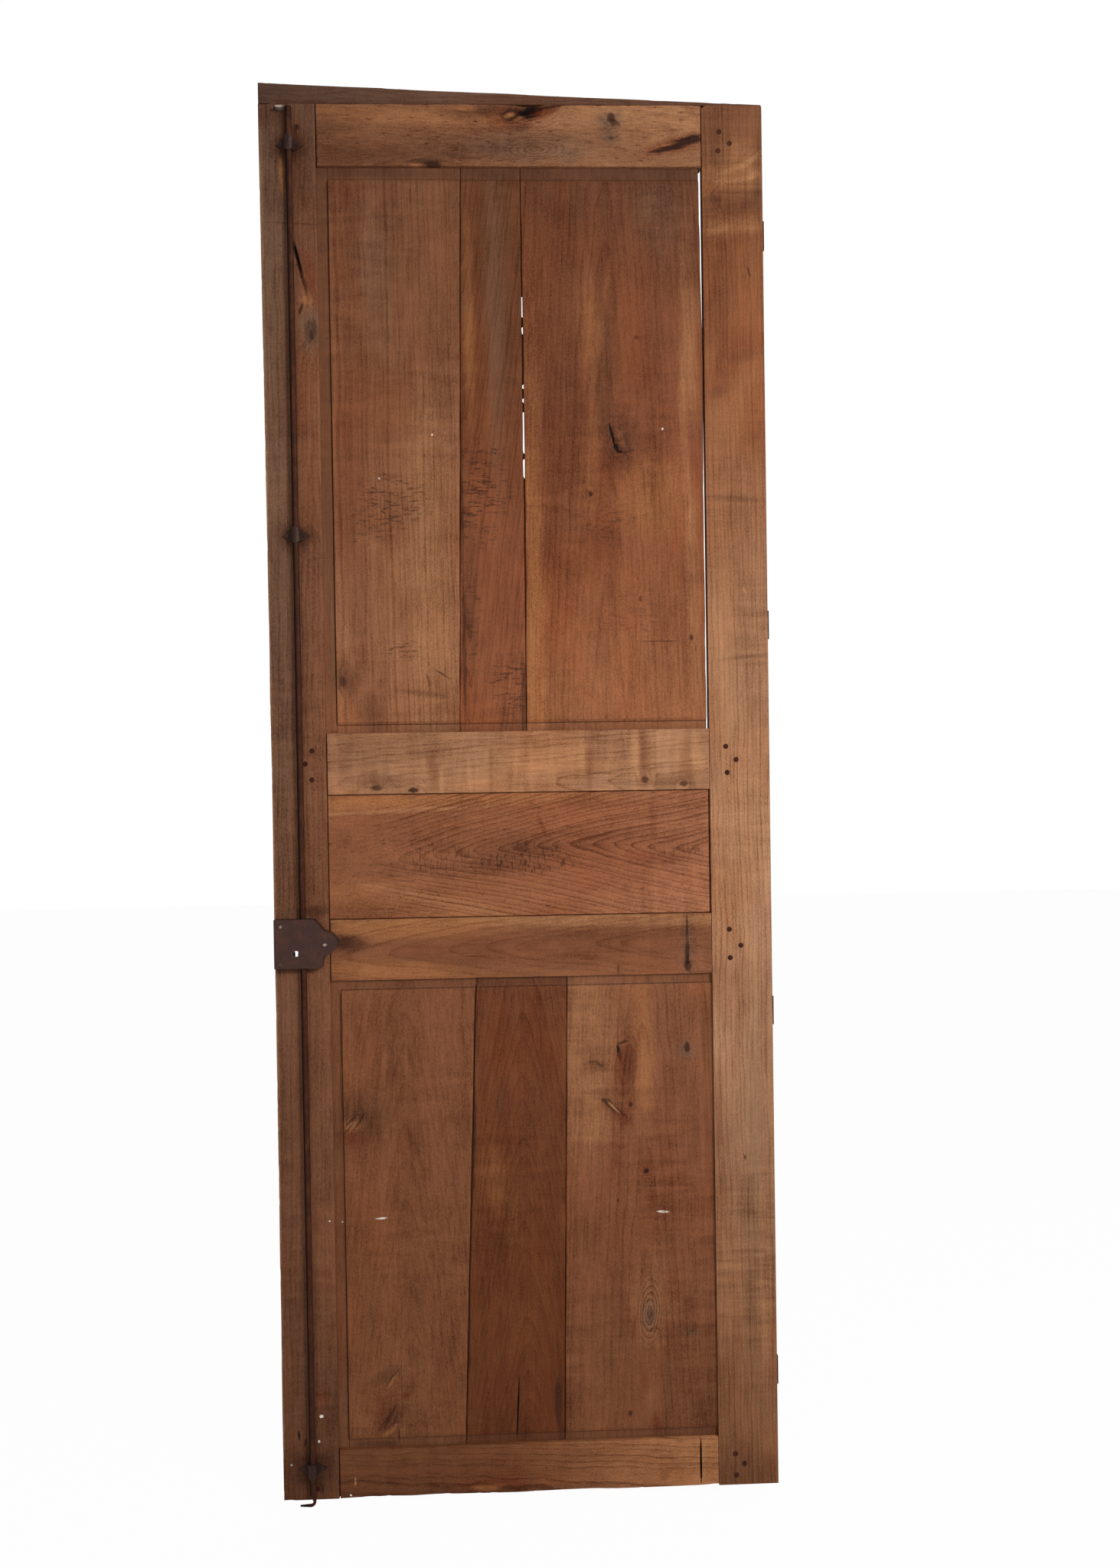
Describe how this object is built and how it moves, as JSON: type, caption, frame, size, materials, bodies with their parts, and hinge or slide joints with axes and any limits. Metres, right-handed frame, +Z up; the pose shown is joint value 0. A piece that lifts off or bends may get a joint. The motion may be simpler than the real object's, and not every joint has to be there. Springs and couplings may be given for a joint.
{
  "type": "panelled door",
  "caption": "Old panelled cherry wood door leaf with a pegged frame, raised panels, a turning lock rod with hooks and guides, a surface lock and butt hinges.",
  "frame": {"origin": "on the face of the jamb, at the middle of the lowest hinge and of the leaf's thickness", "axes": "+X along the width towards the hinges and the jamb, +Y from the inner face that carries the lock to the outer face, +Z up"},
  "size_m": [0.7383, 0.0539, 2.0767],
  "materials": {
    "frame_cherry": "worn, waxed",
    "panel_cherry": "worn, waxed",
    "strip_wood": "worn",
    "peg_wood": "worn",
    "old_iron": "dark, rusted",
    "hinge_iron": "dark, rusted"
  },
  "bodies": {
    "jamb_hinges": {"hinge_pin_bottom": "hinge_iron", "hinge_pin_lower": "hinge_iron", "hinge_pin_top": "hinge_iron", "hinge_pin_upper": "hinge_iron", "jamb_hinge_leaf_bottom": "hinge_iron", "jamb_hinge_leaf_lower": "hinge_iron", "jamb_hinge_leaf_top": "hinge_iron", "jamb_hinge_leaf_upper": "hinge_iron"},
    "door": {"bolt_spring": "old_iron", "bottom_rail": "frame_cherry", "bottom_rail_pegs": "peg_wood", "door_hinge_leaf_bottom": "hinge_iron", "door_hinge_leaf_lower": "hinge_iron", "door_hinge_leaf_top": "hinge_iron", "door_hinge_leaf_upper": "hinge_iron", "guide_nails": "old_iron", "hinge_screws": "hinge_iron", "hinge_stile": "frame_cherry", "lock_case": "old_iron", "lock_nails": "old_iron", "lock_stile": "frame_cherry", "lower_middle_rail": "frame_cherry", "lower_panel_board_left": "panel_cherry", "lower_panel_board_middle": "panel_cherry", "lower_panel_board_right": "panel_cherry", "lower_rail_pegs": "peg_wood", "middle_panel": "panel_cherry", "rod_guide_bottom": "old_iron", "rod_guide_middle": "old_iron", "rod_guide_top": "old_iron", "top_rail": "frame_cherry", "top_rail_pegs": "peg_wood", "top_wedge": "strip_wood", "upper_middle_rail": "frame_cherry", "upper_panel_board_left": "panel_cherry", "upper_panel_board_middle": "panel_cherry", "upper_panel_board_right": "panel_cherry", "upper_rail_pegs": "peg_wood", "wedge_nails": "old_iron"},
    "rod": {"lock_rod": "old_iron"},
    "bolt": {"lock_bolt": "old_iron"}
  },
  "joints": [
    {"name": "door_swing", "type": "hinge", "parent": "jamb_hinges", "child": "door", "pos_m": [-0.00265, 0.0186, 0], "axis": [0, 0, -1], "range_deg": [0, 170]},
    {"name": "rod_turn", "type": "hinge", "parent": "door", "child": "rod", "pos_m": [-0.6918, -0.02, 0], "axis": [0, 0, 1], "range_deg": [0, 90]},
    {"name": "bolt_throw", "type": "slide", "parent": "door", "child": "bolt", "axis": [-1, 0, 0], "range_m": [0, 0.01131]}
  ],
  "couplings": [
    {"joint": "bolt_throw", "follows": "rod_turn", "m_per_rad": 0.0072}
  ]
}
